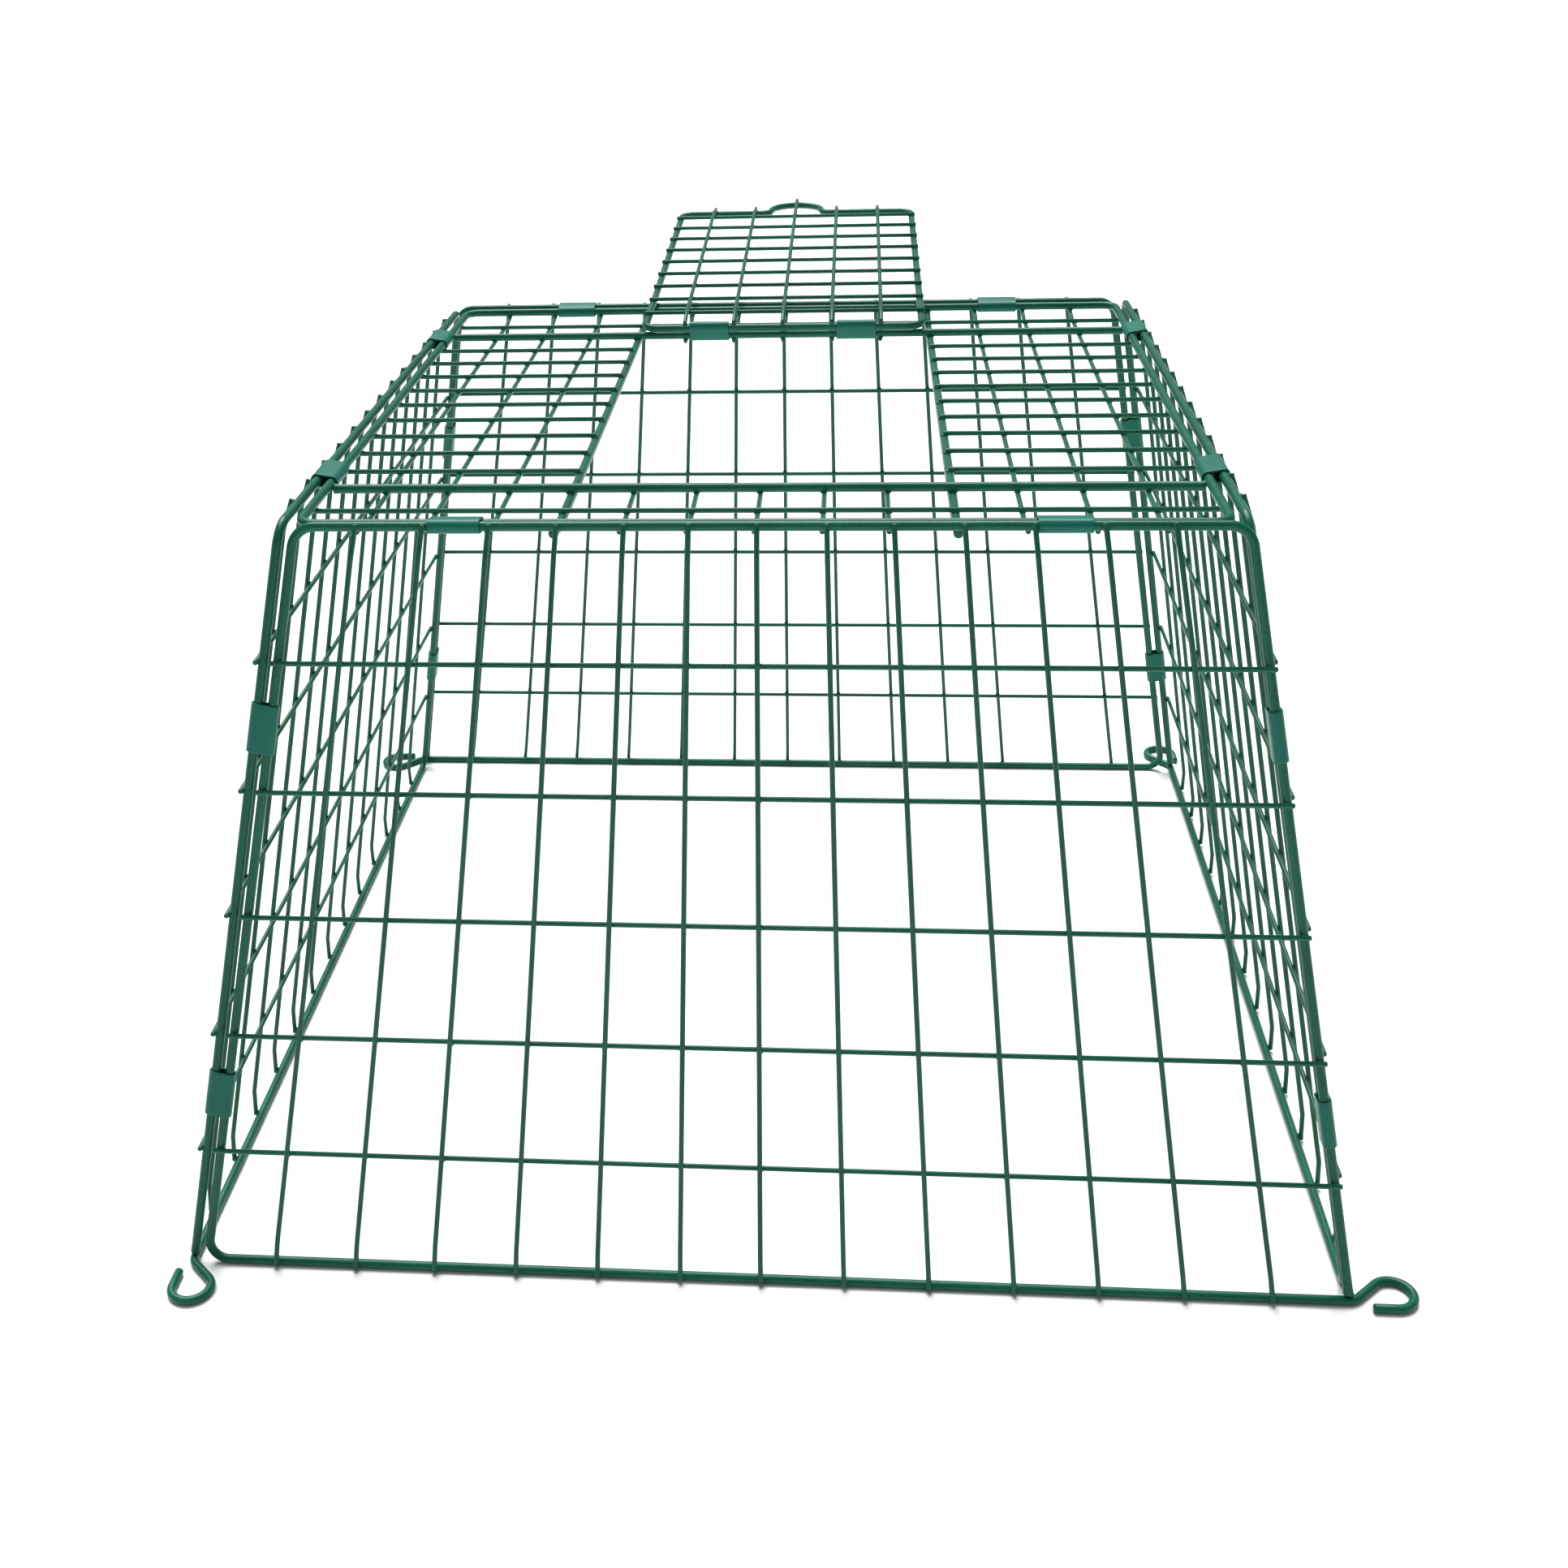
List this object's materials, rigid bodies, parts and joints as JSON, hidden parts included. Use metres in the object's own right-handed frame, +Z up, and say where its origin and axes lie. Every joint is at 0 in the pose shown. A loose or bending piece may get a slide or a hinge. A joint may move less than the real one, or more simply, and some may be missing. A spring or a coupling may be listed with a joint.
{
  "type": "wire mesh ground cage",
  "caption": "Open-bottomed wire cage with leaning mesh panels, sleeve clips, flat peg hooks and a hinged roof hatch folded back.",
  "frame": {"origin": "centre of the base square, on the ground", "axes": "+Z up, -Y the front, +Y the side the lid folds back over, +X to the right seen from the front"},
  "size_m": [0.5586, 0.6796, 0.3439],
  "materials": {
    "frame_wire": "satin green plastic coating over steel wire",
    "mesh_wire": "satin green plastic coating over steel wire",
    "clip_sleeve": "satin green coated steel sleeve"
  },
  "bodies": {
    "cage": {"front_frame": "frame_wire", "right_frame": "frame_wire", "back_frame": "frame_wire", "left_frame": "frame_wire", "front_uprights": "mesh_wire", "right_uprights": "mesh_wire", "back_uprights": "mesh_wire", "left_uprights": "mesh_wire", "front_cross_wires": "mesh_wire", "right_cross_wires": "mesh_wire", "back_cross_wires": "mesh_wire", "left_cross_wires": "mesh_wire", "roof_frame": "frame_wire", "roof_bar_front": "frame_wire", "roof_bar_rear": "frame_wire", "hatch_edge_left": "frame_wire", "hatch_edge_right": "frame_wire", "roof_cross_wires": "mesh_wire", "roof_depth_wires": "mesh_wire", "clip_roof_front_a": "clip_sleeve", "clip_roof_front_b": "clip_sleeve", "clip_roof_right_a": "clip_sleeve", "clip_roof_right_b": "clip_sleeve", "clip_roof_back_a": "clip_sleeve", "clip_roof_back_b": "clip_sleeve", "clip_roof_left_a": "clip_sleeve", "clip_roof_left_b": "clip_sleeve", "clip_corner_front_lower": "clip_sleeve", "clip_corner_front_upper": "clip_sleeve", "clip_corner_right_lower": "clip_sleeve", "clip_corner_right_upper": "clip_sleeve", "clip_corner_back_lower": "clip_sleeve", "clip_corner_back_upper": "clip_sleeve", "clip_corner_left_lower": "clip_sleeve", "clip_corner_left_upper": "clip_sleeve", "clip_hinge_left": "clip_sleeve", "clip_hinge_right": "clip_sleeve"},
    "lid": {"lid_frame": "frame_wire", "lid_cross_wires": "mesh_wire", "lid_depth_wires": "mesh_wire"}
  },
  "joints": [
    {"name": "lid_hinge", "type": "hinge", "parent": "cage", "child": "lid", "pos_m": [0, 0.1284, 0.3234], "axis": [1, 0, 0], "range_deg": [0, 176]}
  ]
}
